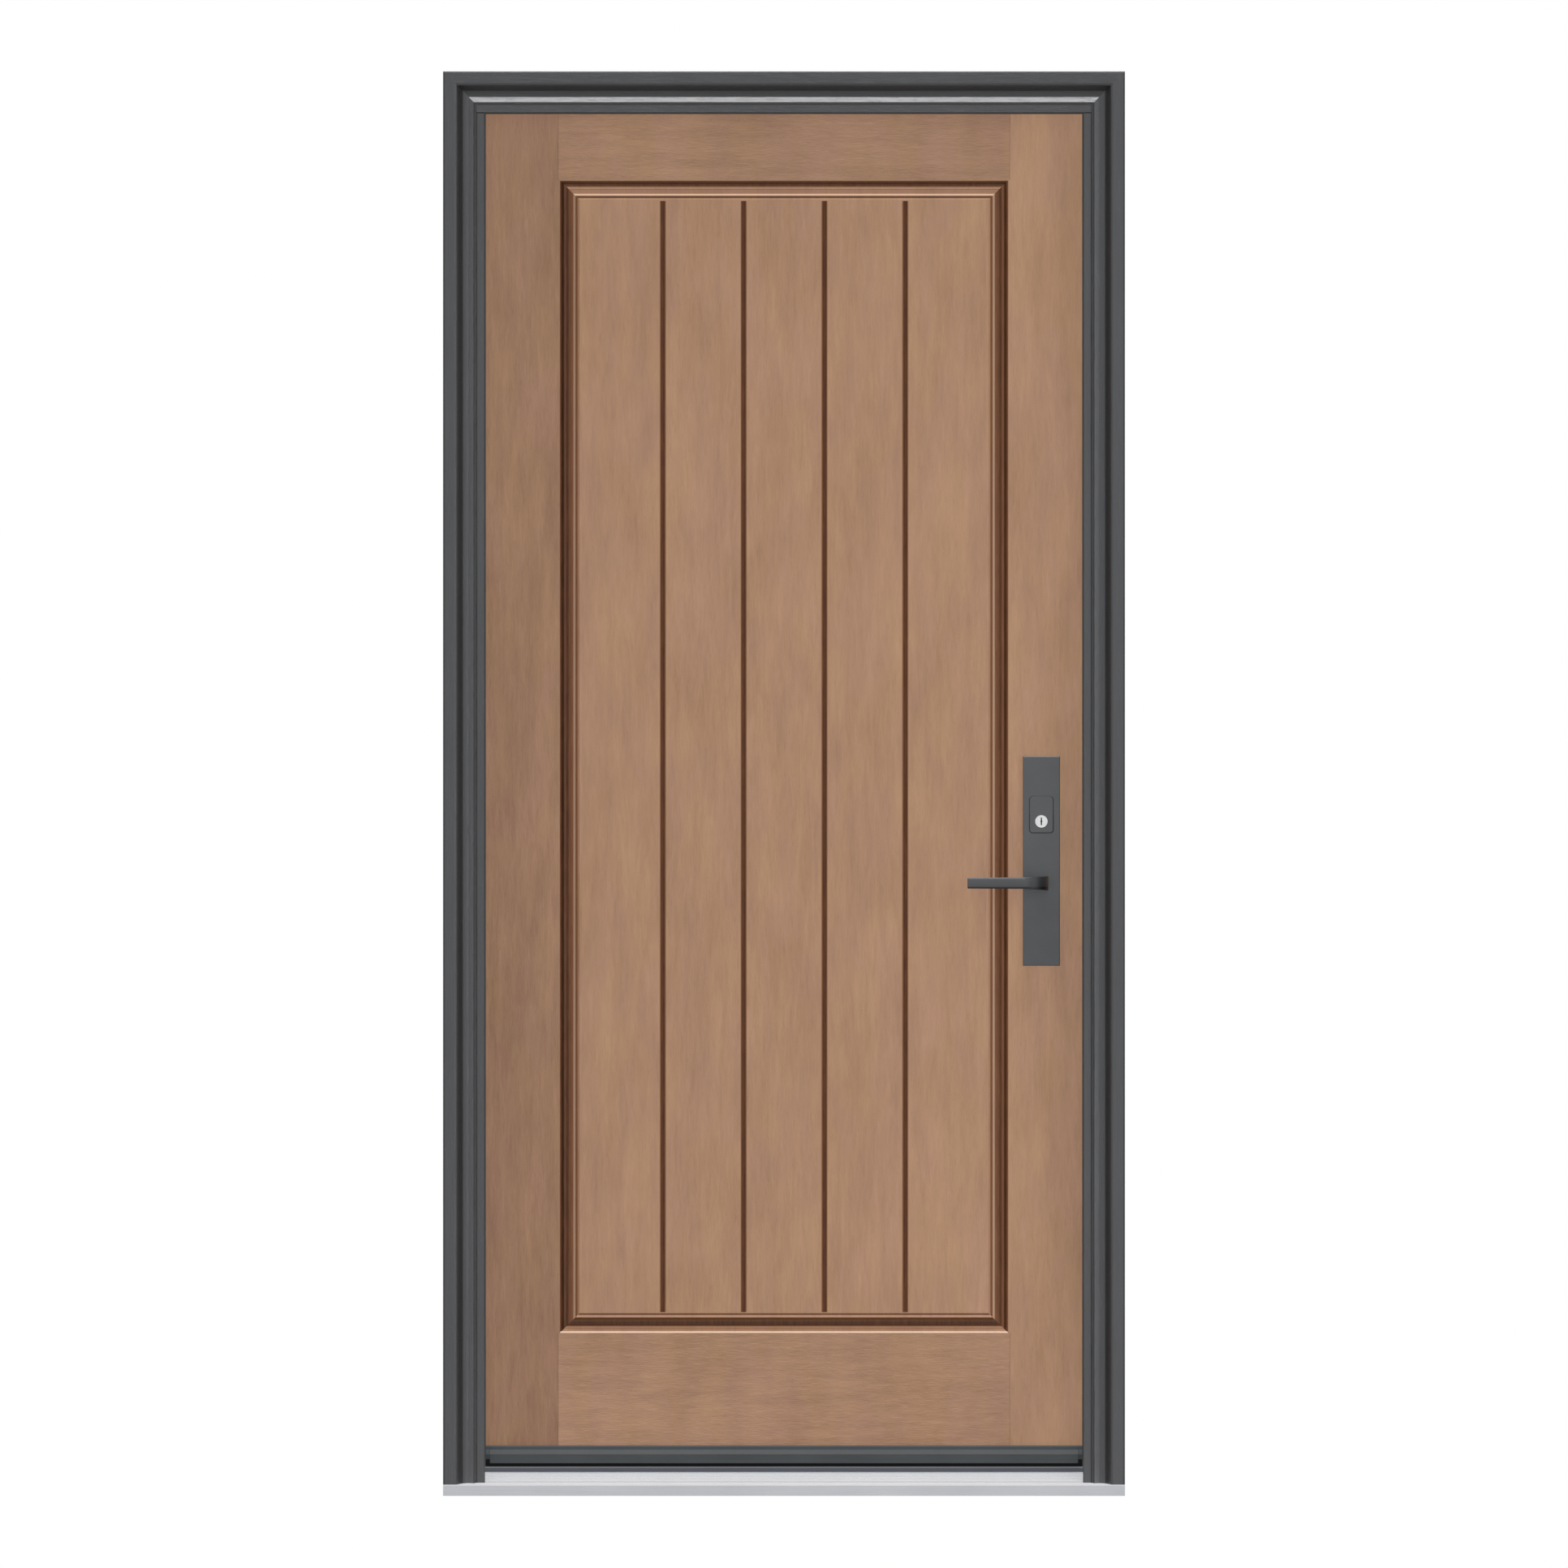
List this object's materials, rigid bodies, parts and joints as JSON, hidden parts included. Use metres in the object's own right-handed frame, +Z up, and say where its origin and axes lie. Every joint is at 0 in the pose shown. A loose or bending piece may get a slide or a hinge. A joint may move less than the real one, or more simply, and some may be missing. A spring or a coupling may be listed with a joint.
{
  "type": "entrance door",
  "caption": "Prehung inswing entrance door: stained moulded leaf with a plank panel, charcoal frame and casing, aluminium sill, rain deflector, long lock plate, lever and key cylinder",
  "frame": {"origin": "under the sill, on the door's centre line, in the plane of the wall's outer face where the casing backs onto the jambs", "axes": "+X right seen from outside (hinge side is -X, lock side +X), +Y into the house, +Z up"},
  "size_m": [1.016, 0.213, 2.1225],
  "materials": {
    "frame_paint": "satin charcoal paint over fine embossed grain",
    "stained_skin": "moulded fibreglass skin, stained wood grain, satin clear coat",
    "edge_timber": "stained timber edge",
    "foam": "rigid polyurethane foam",
    "sill_aluminium": "satin anodised",
    "sill_composite": "moulded composite",
    "cap_vinyl": "dark grey vinyl",
    "seal": "matt black seal",
    "dark_aluminium": "dark grey powder coat",
    "hardware": "satin charcoal metal",
    "nickel": "satin nickel",
    "steel": "satin steel",
    "hinge_steel": "satin dark steel"
  },
  "bodies": {
    "frame": {"hinge_jamb": "frame_paint", "strike_jamb": "frame_paint", "head_jamb": "frame_paint", "left_brickmould": "frame_paint", "right_brickmould": "frame_paint", "head_brickmould": "frame_paint", "sill_deck": "sill_aluminium", "sill_substrate": "sill_composite", "threshold_cap": "cap_vinyl", "left_weatherstrip": "seal", "right_weatherstrip": "seal", "head_weatherstrip": "seal", "strike_plate": "steel", "top_hinge_jamb_leaf": "hinge_steel", "middle_hinge_jamb_leaf": "hinge_steel", "bottom_hinge_jamb_leaf": "hinge_steel", "top_hinge_pin": "hinge_steel", "middle_hinge_pin": "hinge_steel", "bottom_hinge_pin": "hinge_steel"},
    "leaf": {"exterior_skin": "stained_skin", "interior_skin": "stained_skin", "hinge_stile": "edge_timber", "lock_stile": "edge_timber", "top_rail": "edge_timber", "bottom_rail": "edge_timber", "foam_core": "foam", "rain_deflector": "dark_aluminium", "door_bottom": "seal", "top_hinge_door_leaf": "hinge_steel", "middle_hinge_door_leaf": "hinge_steel", "bottom_hinge_door_leaf": "hinge_steel", "lock_faceplate": "steel", "lock_case": "steel", "latch_bolt": "steel", "exterior_escutcheon": "hardware", "interior_escutcheon": "hardware", "cylinder_guard": "hardware", "cylinder_housing": "nickel", "thumbturn": "hardware"},
    "levers": {"exterior_lever": "hardware", "interior_lever": "hardware", "spindle": "steel"},
    "key_cylinder": {"key_plug": "nickel"}
  },
  "joints": [
    {"name": "leaf_swing", "type": "hinge", "parent": "frame", "child": "leaf", "pos_m": [-0.45525, 0.1225, 1.06], "axis": [0, 0, 1], "range_deg": [0, 170]},
    {"name": "lever_turn", "type": "hinge", "parent": "leaf", "child": "levers", "pos_m": [0.3835, 0.09375, 0.913], "axis": [0, -1, 0], "range_deg": [0, 45], "stiffness_Nm_per_rad": 1.2, "springref_deg": -34.38},
    {"name": "key_turn", "type": "hinge", "parent": "leaf", "child": "key_cylinder", "pos_m": [0.3835, 0.0759, 1.005], "axis": [0, -1, 0], "range_deg": [-90, 90]}
  ]
}
